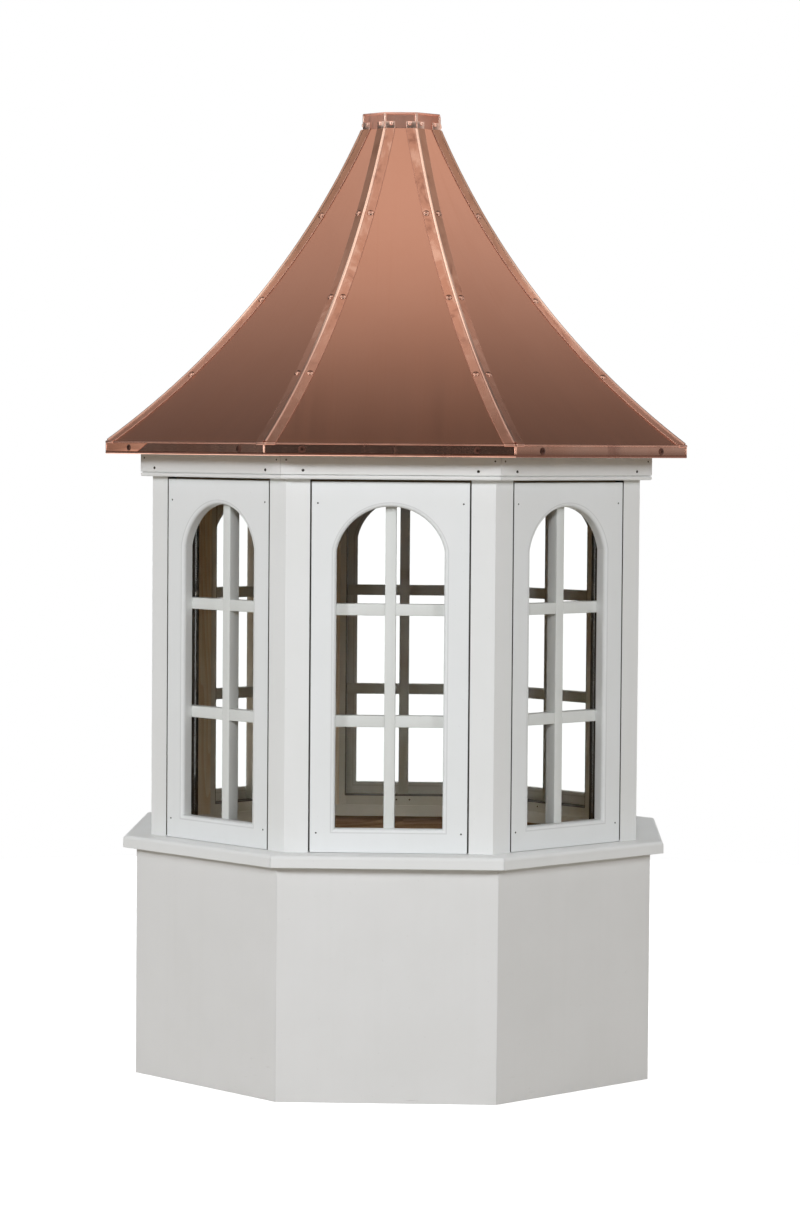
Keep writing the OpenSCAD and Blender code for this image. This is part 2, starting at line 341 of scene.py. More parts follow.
def make_strap_wear():
    """Copper at a hip, with painted light: a painted highlight along the ridge that fades towards the eave,
    painted shade high up on every side but the front, and a painted highlight on the less metallic cut edge.

    The normal lets a strap fall away from its hip, except where it is pressed flat low down.
    """
    made, given, out = shared_effect(
        "strap_painted_light",
        {
            "Color": ("color", shade(206, 147, 122)),
            "Ridge highlight": ("color", shade(238, 190, 166)),
            "Eave fade": ("color", shade(204, 150, 128)),
            "Side shade": ("color", shade(152, 110, 88)),
            "Edge highlight": ("color", shade(206, 152, 130)),
        },
        {"Color": "color", "Metal": "value", "Normal": "vector"},
    )
    sides = made.group(SIDE_FRAME).outputs
    parts = made.add("ShaderNodeSeparateXYZ", {0: sides["Place"]})
    from_axis = made.math("MULTIPLY", parts.outputs["Y"], -math.tan(HALF_TURN))
    from_hip = made.math("SUBTRACT", from_axis, made.math("ABSOLUTE", parts.outputs["X"]))
    # This noise makes the edges of the ridge's painted highlight and of its painted fade at the eave uneven
    hip_shading = made.noise(made.add("ShaderNodeTexCoord").outputs["Object"], 60.0, 3.0)
    uneven = made.math("MULTIPLY", made.math("SUBTRACT", hip_shading, 0.5), 0.010)
    ridge_share = made.ramp(made.math("ADD", from_hip, uneven), 0.006, 0.001)
    foot_share = made.ramp(made.math("ADD", parts.outputs["Z"], uneven), *STRAP_EAVE_FADE, 0.0, 0.6)
    off_front = made.math("MINIMUM", made.math("ABSOLUTE", sides["Side"]), 1.0)
    # Painted shade high up on every side but the front
    side_shade_share = made.math("MULTIPLY", off_front, made.ramp(parts.outputs["Z"], *STRAP_SIDE_SHADE, 0.0, 0.8))
    # Painted highlight on the cut edge, where the copper is also less metallic
    edge_share = made.ramp(from_hip, STRAP_W - 0.0003, STRAP_W - 0.0001)
    highlighted = made.mix(ridge_share, given["Color"], given["Ridge highlight"])
    faded = made.mix(foot_share, highlighted, given["Eave fade"])
    side_shaded = made.mix(side_shade_share, faded, given["Side shade"])
    made.tree.links.new(made.mix(edge_share, side_shaded, given["Edge highlight"]), out.inputs["Color"])
    made.tree.links.new(made.ramp(edge_share, 0.0, 1.0, 1.0, 0.25), out.inputs["Metal"])
    by_front = made.math("LESS_THAN", made.math("MULTIPLY", sides["Side"], parts.outputs["X"]), 0.0)
    pressed = made.math("MULTIPLY", by_front, made.ramp(parts.outputs["Z"], *STRAP_PRESSED))
    fall = made.ramp(pressed, 0.0, 1.0, -STRAP_FALL, 0.0)
    lean = made.add(
        "ShaderNodeCombineXYZ",
        {"X": made.math("MULTIPLY", made.math("SIGN", parts.outputs["X"]), fall),
         "Y": made.math("MULTIPLY", fall, math.tan(HALF_TURN)), "Z": -STRAP_STEEP},
    )
    turned = made.add(
        "ShaderNodeVectorRotate",
        {"Vector": lean.outputs[0], "Angle": made.math("MULTIPLY", sides["Side"], TURN)},
        rotation_type="Z_AXIS",
    )
    flat = made.add("ShaderNodeNewGeometry").outputs["Normal"]
    leaning = made.add("ShaderNodeVectorMath", {0: flat, 1: turned.outputs[0]}, operation="ADD")
    normal = made.add("ShaderNodeVectorMath", {0: leaning.outputs[0]}, operation="NORMALIZE")
    made.tree.links.new(normal.outputs[0], out.inputs["Normal"])
    return made.tree


BOARD_FINISH = make_board_finish()
STRAP_PAINTED_LIGHT = make_strap_wear()
COPPER_TONE = make_copper_tone()
TIMBER_GRAIN = make_timber_grain()


def new_material(name):
    material = bpy.data.materials.new(name)
    material.use_nodes = True
    material.node_tree.nodes.clear()
    made = Tree(material.node_tree)
    surface = made.add("ShaderNodeBsdfPrincipled")
    made.add("ShaderNodeOutputMaterial", {"Surface": surface.outputs[0]})
    return material, made, surface


def finish_surface(made, surface, tone, color, depth, base=None):
    """Links a finish to a shader, with its height laid over a base normal."""
    bump = made.add("ShaderNodeBump", {"Strength": 1.0, "Distance": depth, "Height": tone["Height"]})
    if base is not None:
        made.tree.links.new(base, bump.inputs["Normal"])
    linked = {"Base Color": color, "Roughness": tone["Roughness"], "Normal": bump.outputs[0]}
    for socket, value in linked.items():
        made.tree.links.new(value, surface.inputs[socket])


def eased_edges(made, radius):
    """The normal of a thick piece, with its edges softened by a small round."""
    return made.add("ShaderNodeBevel", {"Radius": radius}, samples=6).outputs[0]


def board_material(name, white, grey, cloud, streaks, specks, marks=None, mark=None):
    material, made, surface = new_material(name)
    tone = made.group(
        BOARD_FINISH, {"White": white, "Grey": grey, "Cloud": cloud, "Streaks": streaks, "Specks": specks}
    )
    color = tone.outputs["Color"]
    if marks is not None:
        color = made.mix(marks(made), color, mark)
    finish_surface(made, surface, tone.outputs, color, BOARD_TOOTH, eased_edges(made, BOARD_EASE))
    surface.inputs["Specular IOR Level"].default_value = 0.2
    return material


def skirt_scuffs(made):
    """Scuffed marks low on the skirt, where it is set down and slid."""
    sides = made.group(SIDE_FRAME)
    parts = made.add("ShaderNodeSeparateXYZ", {0: sides.outputs["Place"]})
    low = made.ramp(parts.outputs["Z"], 0.085, 0.004)
    drawn = made.stretch(side_place(made), (30.0, 30.0, 150.0))
    marks = made.ramp(made.noise(drawn, 1.0, 4.0, 0.65), 0.60, 0.78)
    patches = made.ramp(made.noise(side_place(made), 6.0, 2.0), 0.50, 0.66)
    return made.math("MULTIPLY", made.math("MULTIPLY", marks, patches), made.math("MULTIPLY", low, 0.5))


def side_parts(made):
    """How far a place on a side is from its middle, on either hand, and its height."""
    parts = made.add("ShaderNodeSeparateXYZ", {0: made.group(SIDE_FRAME).outputs["Place"]}).outputs
    return made.math("ABSOLUTE", parts["X"]), parts["Z"]


def off_line(made, value, line):
    """How far a value is from a line, on either side of it."""
    return made.math("ABSOLUTE", made.math("SUBTRACT", value, line))


def sash_edges(made):
    """Painted shade in the joints at the edges of a sash, and a faint line of painted shade where its opening
    starts to round over.
    """
    across, level = side_parts(made)
    joint = made.ramp(across, SASH_HALF - 0.0007, SASH_HALF - 0.0002, 0.0, GAP_SHADE_SHARE)
    over_spring = made.math("MAXIMUM", made.math("SUBTRACT", level, ARCH_Z), 0.0)
    from_middle = made.add("ShaderNodeCombineXYZ", {"X": across, "Y": over_spring}).outputs[0]
    radius = made.add("ShaderNodeVectorMath", {0: from_middle}, operation="LENGTH").outputs["Value"]
    beside = made.math("SUBTRACT", across, OPENING_HALF)
    round_arch = made.math("MAXIMUM", beside, made.math("SUBTRACT", radius, ARCH_R))
    outside = made.math("MAXIMUM", round_arch, made.math("SUBTRACT", OPENING_FOOT, level))
    rout = made.ramp(off_line(made, outside, OPENING_ROUND), LINE_HALF, LINE_CORE, 0.0, 0.16)
    return made.math("MAXIMUM", joint, rout)


def trim_edges(made):
    """Painted shade in the joints at the edges of the corner boards."""
    across, level = side_parts(made)
    near = made.ramp(off_line(made, across, TRIM_EDGE), LINE_HALF / 2, LINE_CORE / 2, 0.0, GAP_SHADE_SHARE)
    over_foot = made.math("GREATER_THAN", level, WALL_FOOT + 0.002)
    under_head = made.math("LESS_THAN", level, CORNICE_FOOT - 0.001)
    return made.math("MULTIPLY", near, made.math("MULTIPLY", over_foot, under_head))


def stop_reveals(made):
    """Painted shade in the joints at the inner edges of the window stops, against the sash."""
    across, level = side_parts(made)
    upright = made.ramp(off_line(made, across, STOP_EDGE), LINE_HALF, LINE_CORE)
    foot = made.ramp(off_line(made, level, STOP_FOOT), LINE_HALF, LINE_CORE)
    over_foot = made.math("GREATER_THAN", level, STOP_FOOT - LINE_HALF / 2)
    between = made.math("LESS_THAN", across, STOP_EDGE + LINE_HALF / 2)
    sides = made.math("MULTIPLY", upright, over_foot)
    return made.math("MAXIMUM", sides, made.math("MULTIPLY", foot, between))


def fascia_painted_shade(made):
    """Painted shade on the fascia: on its top roll and the upper half of its hem, and on the right-hand sides
    on all of the hem and low on its face.
    """
    level = side_parts(made)[1]
    roll = made.ramp(level, FASCIA_TOP - ROLL_H - 0.0004, FASCIA_TOP - ROLL_H + 0.0004, 0.0, 0.6)
    under_face = made.ramp(level, FASCIA_FOOT + HEM_H + 0.0005, FASCIA_FOOT + HEM_H)
    half_up = made.ramp(level, FASCIA_FOOT + HEM_H * 0.35, FASCIA_FOOT + HEM_H * 0.65)
    to_right = made.math("GREATER_THAN", made.group(SIDE_FRAME).outputs["Side"], 0.5)
    hem = made.math("MULTIPLY", under_face, made.math("MAXIMUM", half_up, to_right))
    low_half = made.ramp(level, FASCIA_FOOT + 0.0120, FASCIA_FOOT + HEM_H, 0.0, 0.5)
    shaded = made.math("MULTIPLY", low_half, to_right)
    return made.math("MAXIMUM", roll, made.math("MAXIMUM", hem, shaded))


def copper_material(
    name, values, wave_depth, hip_shading=None, falls=False, marks=None, mark=None, metallic=1.0
):
    """Copper sheet, with marks of another colour, or with painted highlight and shade along a hip, from which
    a strap falls away.
    """
    material, made, surface = new_material(name)
    tone = made.group(COPPER_TONE, values)
    color, base = tone.outputs["Color"], None
    if hip_shading is not None:
        hip_look = made.group(STRAP_PAINTED_LIGHT, {"Color": color, **hip_shading})
        color = hip_look.outputs["Color"]
    if marks is not None:
        color = made.mix(marks(made), color, mark)
    surface.inputs["Metallic"].default_value = metallic
    if falls:
        made.tree.links.new(hip_look.outputs["Metal"], surface.inputs["Metallic"])
        base = hip_look.outputs["Normal"]
    finish_surface(made, surface, tone.outputs, color, wave_depth, base)
    return material


def timber_material(name, early, late, knot, bands, along, darkened=None):
    material, made, surface = new_material(name)
    place = made.stretch(side_place(made), along)
    tone = made.group(
        TIMBER_GRAIN, {"Place": place, "Early": early, "Late": late, "Knot": knot, "Bands": bands}
    )
    color = tone.outputs["Color"]
    if darkened is not None:
        color = made.mix(darkened(made), color, STUD_PAINTED_SHADE)
    finish_surface(made, surface, tone.outputs, color, TIMBER_TOOTH, eased_edges(made, TIMBER_EASE))
    surface.inputs["Specular IOR Level"].default_value = 0.15
    return material


def stud_faces(made):
    """Painted shade on the outer faces of the studs, which show only as dark lines in the joints round the
    sashes.
    """
    parts = made.add("ShaderNodeSeparateXYZ", {0: made.group(SIDE_FRAME).outputs["Place"]})
    return made.ramp(parts.outputs["Y"], -WALL_BACK + 0.006, -WALL_BACK + 0.002, 0.0, 0.9)


def pane_material():
    """Clear sheet glazing with a faint smear in its polish."""
    material, made, surface = new_material("clear_pane")
    smears = made.noise(side_place(made), 14.0, 4.0, 0.6, 0.8)
    made.tree.links.new(made.ramp(smears, 0.45, 0.8, 0.0, 0.05), surface.inputs["Roughness"])
    tint = made.mix(made.ramp(smears, 0.3, 0.7), shade(255, 255, 255), shade(253, 255, 254))
    made.tree.links.new(tint, surface.inputs["Base Color"])
    surface.inputs["Transmission Weight"].default_value = 1.0
    surface.inputs["IOR"].default_value = 1.22
    return material


def steel_material(name, dark, light, roughness):
    """Small fastener heads, dulled and a little uneven."""
    material, made, surface = new_material(name)
    place = made.add("ShaderNodeTexCoord").outputs["Object"]
    dull = made.noise(place, 700.0, 3.0)
    made.tree.links.new(made.mix(made.ramp(dull, 0.35, 0.7), dark, light), surface.inputs["Base Color"])
    made.tree.links.new(made.ramp(dull, 0.3, 0.7, roughness, roughness + 0.2), surface.inputs["Roughness"])
    surface.inputs["Metallic"].default_value = 0.8
    return material


GRAIN_UPRIGHT = (1.0, 1.0, 0.07)
GRAIN_SIDEWAYS = (0.07, 1.0, 1.0)
PINE_EARLY = shade(194, 164, 132)
PINE_LATE = shade(156, 122, 92)
PINE_KNOT = shade(88, 56, 38)
STUD_EARLY = shade(250, 245, 235)
STUD_LATE = shade(234, 220, 203)
SCUFF = shade(150, 146, 138)
# Painted shade for the joints between boards and where a sash's opening starts to round over
GAP_SHADE = shade(58, 52, 46)
STUD_PAINTED_SHADE = shade(44, 36, 29)

skirt_board = board_material(
    "skirt_board", shade(234, 234, 233), shade(228, 228, 226), 0.4, 0.15, 0.05, skirt_scuffs, SCUFF
)
trim_board = board_material(
    "trim_board", shade(240, 241, 240), shade(234, 235, 233), 0.4, 0.15, 0.05, trim_edges, GAP_SHADE
)
sash_board = board_material(
    "sash_board", shade(240, 242, 242), shade(235, 237, 236), 0.4, 0.15, 0.05, sash_edges, GAP_SHADE
)
stop_board = board_material(
    "stop_board", shade(228, 230, 227), shade(219, 221, 217), 0.5, 0.2, 0.05, stop_reveals, GAP_SHADE
)
pine_upright = timber_material(
    "pine_upright", STUD_EARLY, STUD_LATE, PINE_KNOT, 38.0, GRAIN_UPRIGHT, stud_faces
)
pine_sideways = timber_material("pine_sideways", PINE_EARLY, PINE_LATE, PINE_KNOT, 38.0, GRAIN_SIDEWAYS)
plywood = timber_material(
    "plywood", shade(186, 150, 110), shade(152, 112, 74), shade(96, 62, 40), 18.0, (0.2, 1.0, 1.0)
)
clear_pane = pane_material()
copper_panel = copper_material(
    "copper_panel", {"Blotches": 0.14, "Smoke amount": 0.03, "Stain scale": 9.0, "Roughness": 0.33}, 0.0002
)
# The hip straps, with a painted highlight along the ridge and painted shade on the flanges off the front
copper_strap = copper_material(
    "copper_strap",
    {"Clean": shade(200, 142, 118), "Warm": shade(186, 125, 98), "Smoke": shade(128, 82, 66),
     "Blotches": 0.6, "Smoke amount": 0.7, "Pink amount": 0.5, "Stain scale": 36.0, "Roughness": 0.28},
    0.0003,
    {"Ridge highlight": shade(218, 168, 144), "Eave fade": shade(204, 150, 128)},
    falls=True,
)
# A lighter copy of the strap copper for the ridges and eave wraps, a painted highlight, painted darker
# towards the eave
copper_hip = copper_material(
    "copper_hip",
    {"Clean": shade(240, 192, 170), "Warm": shade(222, 160, 134),
     "Blotches": 0.5, "Smoke amount": 0.35, "Pink amount": 0.6, "Stain scale": 36.0, "Roughness": 0.32},
    0.0001,
    {"Ridge highlight": shade(244, 202, 180), "Eave fade": shade(156, 108, 92)},
)
# A lighter copy of the sheet copper for the collar's seams, strap ends and rivets; on the seams its lightness
# is a painted highlight
copper_tab = copper_material(
    "copper_tab",
    {"Clean": shade(254, 216, 198), "Warm": shade(238, 180, 154),
     "Blotches": 0.6, "Smoke amount": 0.3, "Stain scale": 42.0, "Roughness": 0.30},
    0.0003,
)
copper_fascia = copper_material(
    "copper_fascia",
    {"Clean": shade(242, 191, 169), "Warm": shade(226, 157, 129), "Smoke": shade(150, 99, 87),
     "Blotches": 0.6, "Smoke amount": 0.5, "Stain scale": 14.0, "Roughness": 0.20},
    0.0010,
    # Painted shade on the fascia's roll and hem, and low on its right-hand sides
    marks=fascia_painted_shade,
    mark=shade(138, 94, 78),
)
copper_lap = copper_material(
    "copper_lap",
    {"Clean": shade(216, 152, 124), "Warm": shade(190, 126, 99), "Smoke": shade(150, 94, 74),
     "Blotches": 0.6, "Smoke amount": 0.4, "Stain scale": 30.0, "Roughness": 0.40},
    0.0004,
    metallic=0.6,
)
copper_cap = copper_material(
    "copper_cap",
    {"Clean": shade(252, 196, 174), "Warm": shade(224, 140, 112), "Smoke": shade(136, 96, 92),
     "Blotches": 0.8, "Smoke amount": 0.45, "Stain scale": 42.0, "Roughness": 0.40},
    0.0006,
)
copper_rivet = copper_material(
    "copper_rivet",
    {"Clean": shade(206, 160, 140), "Warm": shade(176, 126, 106), "Smoke": shade(116, 88, 78),
     "Blotches": 0.5, "Smoke amount": 0.6, "Stain scale": 150.0, "Roughness": 0.27},
    0.0001,
)
# A dark copy of the rivet copper, for the fascia's rivets: painted shade
shaded_rivet = copper_material(
    "shaded_rivet",
    {"Clean": shade(96, 66, 56), "Warm": shade(76, 48, 40), "Smoke": shade(54, 38, 34),
     "Blotches": 0.6, "Smoke amount": 0.8, "Stain scale": 150.0, "Roughness": 0.45},
    0.0001,
)
screw_steel = steel_material("screw_steel", shade(52, 48, 44), shade(96, 92, 86), 0.4)
brad_steel = steel_material("brad_steel", shade(84, 84, 82), shade(130, 130, 128), 0.4)

NODE_FINISHES = {
    "base_panel": skirt_board,
    "sill": trim_board,
    "corner_trim": trim_board,
    "cornice": trim_board,
    "sash": sash_board,
    "window_stops": stop_board,
    "window_panes": clear_pane,
    "corner_studs": pine_upright,
    "base_ring": pine_sideways,
    "top_plate": pine_sideways,
    "roof_deck": plywood,
    "roof_ribs": plywood,
    "crown_block": pine_upright,
    "roof_panel": copper_panel,
    "hip_caps": copper_strap,
    "eave_fascia": copper_fascia,
    "roof_cap": copper_cap,
}

for node_name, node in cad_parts.items():
    finish = next(made for start, made in NODE_FINISHES.items() if node_name.startswith(start))
    if not node.material_slots:
        node.data.materials.append(finish)
    for used in node.material_slots:
        used.material = finish


# Pieces


def new_piece(name, bm, finish, crease=math.radians(35)):
    """Makes a bmesh into a piece of the cupola, with its place in its mesh."""
    bmesh.ops.remove_doubles(bm, verts=bm.verts, dist=1e-6)
    bmesh.ops.recalc_face_normals(bm, faces=bm.faces)
    mesh = bpy.data.meshes.new(name)
    bm.to_mesh(mesh)
    bm.free()
    mesh.materials.append(finish)
    mesh.shade_smooth()
    mesh.set_sharp_from_angle(angle=crease)
    piece = bpy.data.objects.new(name, mesh)
    bpy.context.scene.collection.objects.link(piece)
    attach(piece, "root")
    return piece


def ease(bm, edges, offset):
    """Rounds edges over."""
    bmesh.ops.bevel(
        bm, geom=list(edges), offset=offset, offset_type="OFFSET", segments=2, profile=0.5,
        affect="EDGES", material=-1,
    )


def add_bar(bm, low, high, edge):
    """A straight bar between two corners, with eased edges."""
    size = high - low
    place = Matrix.Translation((low + high) / 2) @ Matrix.Diagonal((*size, 1))
    made = bmesh.ops.create_cube(bm, size=1, matrix=place)["verts"]
    ease(bm, {edge_of for vert in made for edge_of in vert.link_edges}, edge)


def turned_shape(name, outline, steps):
    """A small head turned round Z from half of its outline, given as (radius, height)."""
    bm = bmesh.new()
    points = [bm.verts.new((radius, 0, height)) for radius, height in outline]
    lines = [bm.edges.new(pair) for pair in zip(points, points[1:])]
    bmesh.ops.spin(
        bm, geom=points + lines, cent=(0, 0, 0), axis=(0, 0, 1), angle=math.tau, steps=steps, use_merge=True
    )
    bmesh.ops.remove_doubles(bm, verts=bm.verts, dist=1e-6)
    bmesh.ops.recalc_face_normals(bm, faces=bm.faces)
    mesh = bpy.data.meshes.new(name)
    bm.to_mesh(mesh)
    bm.free()
    return mesh


def stamp(bm, shape, place):
    """Adds a copy of a small shape to a bmesh."""
    first = len(bm.verts)
    bm.from_mesh(shape)
    bm.verts.ensure_lookup_table()
    bmesh.ops.transform(bm, matrix=place, verts=bm.verts[first:])


def round_head(name, radius, height, steps, dimple):
    """A domed head with a small dimple left by its mandrel."""
    sunk = -0.1 * height
    outline = (
        (0, height * 0.55), (dimple * 0.6, height * 0.55), (dimple, height), (radius * 0.5, height * 0.95),
        (radius * 0.8, height * 0.62), (radius * 0.97, height * 0.25), (radius, sunk), (0, sunk),
    )
    return turned_shape(name, outline, steps)


def flat_head(name, radius, height, steps):
    """A low head with a round edge and a recess for a bit."""
    outline = (
        (0, height * 0.2), (radius * 0.35, height * 0.2), (radius * 0.45, height),
        (radius * 0.8, height * 0.9), (radius, height * 0.3), (radius, -height), (0, -height),
    )
    return turned_shape(name, outline, steps)


# Glazing bars: one upright and two cross bars in each window, between sash and pane
BAR_FRONT = WALL_BACK - 0.0001
BAR_BACK = 0.2934
BAR_HALF = 0.0070
BAR_EASE = 0.0008
BAR_PLAY = 0.0003
CROSS_HALF = 0.0075
CROSS_REACH = 0.0834
CROSS_LEVELS = (0.4897, 0.6339)


def glazing_bars(index):
    bm = bmesh.new()
    low = on_front(-BAR_HALF, BAR_FRONT, PANE_FOOT + BAR_PLAY)
    high = on_front(BAR_HALF, BAR_BACK, PANE_HEAD - BAR_PLAY)
    add_bar(bm, low, high, BAR_EASE)
    for level in CROSS_LEVELS:
        for way in (-1, 1):
            near, far = sorted((way * (BAR_HALF + 0.0001), way * CROSS_REACH))
            low = on_front(near, BAR_FRONT, level - CROSS_HALF)
            high = on_front(far, BAR_BACK, level + CROSS_HALF)
            add_bar(bm, low, high, BAR_EASE)
    bmesh.ops.transform(bm, matrix=at_side(index), verts=bm.verts)
    new_piece("glazing_bars_" + SIDES[index], bm, stop_board)


for index in range(len(SIDES)):
    glazing_bars(index)

# Hip ridges: the rounded bend that stands along each strap, over the upstands of the hip caps
RIDGE_R = 0.0030
RIDGE_SUNK = 0.0012
RIDGE_STEPS = 44


def hip_ridges():
    bm = bmesh.new()
    lift = STRAP_TOP - RIDGE_SUNK
    reach = ROOF_R - lift
    foot, head = EAVE + 0.002, CAP_FOOT - 0.002
    start, end = (math.acos((ARC_Z - level) / reach) for level in (foot, head))
    out = Vector((-math.sin(start), 0, -math.cos(start)))
    along = Vector((0, 1, 0)).cross(out)
    turn = Matrix((out, Vector((0, 1, 0)), along)).transposed().to_4x4()
    middle = Vector((ARC_FLAT, 0, ARC_Z))
    ring = bmesh.ops.create_circle(
        bm, segments=14, radius=RIDGE_R, matrix=Matrix.Translation(middle + out * reach) @ turn
    )["verts"]
    edges = list({edge for vert in ring for edge in vert.link_edges})
    bmesh.ops.spin(
        bm, geom=ring + edges, cent=middle, axis=(0, 1, 0), angle=end - start, steps=RIDGE_STEPS,
        use_merge=False,
    )
    bmesh.ops.holes_fill(bm, edges=[edge for edge in bm.edges if edge.is_boundary], sides=0)
    bmesh.ops.scale(bm, vec=(1 / math.cos(HALF_TURN), 1, 1), verts=bm.verts)
    onto_hip = Matrix.Rotation(HALF_TURN - math.tau / 4, 3, "Z")
    bmesh.ops.rotate(bm, cent=(0, 0, 0), matrix=onto_hip, verts=bm.verts)
    one = bpy.data.meshes.new("hip_ridge")
    bm.to_mesh(one)
    for index in range(1, len(SIDES)):
        stamp(bm, one, at_side(index))
    new_piece("hip_ridges", bm, copper_hip, math.radians(60))


hip_ridges()

# Rivets on the straps, the fascia and the collar
STRAP_RIVET_LEVELS = (0.938, 1.040, 1.155)
STRAP_RIVET_IN = 0.0098
FASCIA_RIVET_OUT = 0.111
COLLAR_RIVET_OUT = 0.0125
COLLAR_RIVET_LEVEL = 1.2800
STRAP_END_T = 0.0009

strap_head = round_head("strap_head", 0.0048, 0.0021, 14, 0.0012)
fascia_head = round_head("fascia_head", 0.0048, 0.0017, 14, 0.0012)
collar_head = round_head("collar_head", 0.0030, 0.0017, 12, 0.0008)


def strap_rivets():
    bm = bmesh.new()
    for index in range(len(SIDES)):
        for level in STRAP_RIVET_LEVELS:
            flat = roof_flat(level, STRAP_TOP)
            for way in (-1, 1):
                point = on_front(way * (half_width(flat) - STRAP_RIVET_IN), flat, level)
                stamp(bm, strap_head, at_side(index) @ standing_on(point, roof_normal(level, STRAP_TOP)))
    new_piece("strap_rivets", bm, copper_rivet)


def face_heads(name, shape, finish, places, flat):
    """Heads on the upright face of every side, at (sideways, level)."""
    bm = bmesh.new()
    for index in range(len(SIDES)):
        for sideways, level in places:
            place = standing_on(on_front(sideways, flat, level), Vector((0, -1, 0)))
            stamp(bm, shape, at_side(index) @ place)
    return new_piece(name, bm, finish)


def both_ways(sideways, *levels):
    return [(way * sideways, level) for level in levels for way in (-1, 1)]


strap_rivets()
face_heads(
    "fascia_rivets", fascia_head, shaded_rivet,
    both_ways(FASCIA_RIVET_OUT, (FASCIA_FOOT + FASCIA_TOP) / 2), FASCIA_FLAT,
)
face_heads(
    "collar_rivets", collar_head, copper_tab,
    both_ways(COLLAR_RIVET_OUT, COLLAR_RIVET_LEVEL), CAP_FLAT + STRAP_END_T,
)

# Screws in the cornice and brads in the cornice, the sashes and the stops: how far from the middle of
# a side, and at which levels
CORNICE_SCREWS = both_ways(0.112, 0.8130)
CORNICE_BRADS = both_ways(0.1335, 0.8262)
SASH_BRADS = both_ways(0.0935, 0.3465, 0.7710)
STOP_BRADS = both_ways(0.0095, WALL_FOOT + 0.0080)

screw_head = flat_head("screw_head", 0.0019, 0.0007, 12)
brad_head = flat_head("brad_head", 0.0012, 0.0004, 10)
face_heads("cornice_screws", screw_head, screw_steel, CORNICE_SCREWS, CORNICE_FLAT)
face_heads("cornice_brads", brad_head, screw_steel, CORNICE_BRADS, CORNICE_FLAT)
face_heads("sash_brads", brad_head, brad_steel, SASH_BRADS, WALL_FLAT)


def stop_brads():
    """Brads in the inner faces of the stops, which face the axis."""
    bm = bmesh.new()
    for index in range(len(SIDES)):
        for sideways, level in STOP_BRADS:
            point = on_front(sideways, STUD_BACK, level)
            stamp(bm, brad_head, at_side(index) @ standing_on(point, Vector((0, 1, 0))))
    new_piece("stop_brads", bm, screw_steel)


stop_brads()

# Folded copper at the eave corners and round the collar
SEAM_R = 0.0019
COLLAR_SEAM_R = 0.0021
HEM_R = 0.0016
WRAP_R = 0.0021
WRAP_REACH = 0.0140
WRAP_EASE = 0.0006
LAP_T = 0.0007
LAP_REACH = 0.0740
LAP_SLANT = 0.0200


def upright_seams(name, flat, foot, head, radius, finish):
    """A rounded upright fold at each corner of an octagon."""
    bm = bmesh.new()
    out = flat / math.cos(HALF_TURN) - radius * 0.5
    for index in range(len(SIDES)):
        turn = at_side(index) @ Matrix.Rotation(HALF_TURN, 4, "Z")
        place = turn @ Matrix.Translation((0, -out, (foot + head) / 2))
        made = bmesh.ops.create_cone(
            bm, cap_ends=True, segments=14, radius1=radius, radius2=radius, depth=head - foot, matrix=place
        )["verts"]
        rims = {edge for vert in made for edge in vert.link_edges if len({v.co.z for v in edge.verts}) == 1}
        ease(bm, rims, radius * 0.45)
    new_piece(name, bm, finish, math.radians(60))


def eave_wraps():
    """The feet of the straps, folded over the roll along the top of the fascia."""
    bm = bmesh.new()
    flat = FASCIA_FLAT - 0.0005
    level = FASCIA_TOP - 0.0013
    outer = half_width(flat) - 0.0006
    for index in range(len(SIDES)):
        for way in (-1, 1):
            middle = on_front(way * (outer - WRAP_REACH / 2), flat, level)
            place = at_side(index) @ Matrix.Translation(middle) @ Matrix.Rotation(math.tau / 4, 4, "Y")
            made = bmesh.ops.create_cone(
                bm, cap_ends=True, segments=14, radius1=WRAP_R, radius2=WRAP_R, depth=WRAP_REACH, matrix=place
            )["verts"]
            ends = {face for vert in made for face in vert.link_faces if len(face.verts) > 4}
            ease(bm, {edge for face in ends for edge in face.edges}, WRAP_EASE)
    new_piece("eave_wraps", bm, copper_hip, math.radians(60))


def collar_strap_ends():
    """The heads of the straps, turned up against the foot of the collar."""
    bm = bmesh.new()
    outer = half_width(CAP_FLAT) - 0.0002
    for index in range(len(SIDES)):
        for way in (-1, 1):
            near, far = sorted((way * 0.0075, way * outer))
            low = on_front(near, CAP_FLAT + STRAP_END_T, CAP_FOOT - 0.0016)
            high = on_front(far, CAP_FLAT + 0.0001, CAP_FOOT + 0.0090)
            piece = bmesh.new()
            add_bar(piece, low, high, 0.0003)
            shape = bpy.data.meshes.new("strap_end")
            piece.to_mesh(shape)
            piece.free()
            stamp(bm, shape, at_side(index))
    new_piece("collar_strap_ends", bm, copper_tab)


def collar_hem():
    """The rolled rim of the collar: a round profile carried round the octagon."""
    bm = bmesh.new()
    flat = CAP_FLAT - 0.0004
    place = (
        Matrix.Rotation(HALF_TURN, 4, "Z")
        @ Matrix.Translation((0, -flat / math.cos(HALF_TURN), CAP_TOP - HEM_R))
        @ Matrix.Rotation(math.tau / 4, 4, "Y")
    )
    ring = bmesh.ops.create_circle(bm, segments=12, radius=HEM_R, matrix=place)["verts"]
    edges = list({edge for vert in ring for edge in vert.link_edges})
    bmesh.ops.spin(
        bm, geom=ring + edges, cent=(0, 0, 0), axis=(0, 0, 1), angle=math.tau, steps=len(SIDES),
        use_merge=True,
    )
    new_piece("collar_hem", bm, copper_cap, math.radians(40))


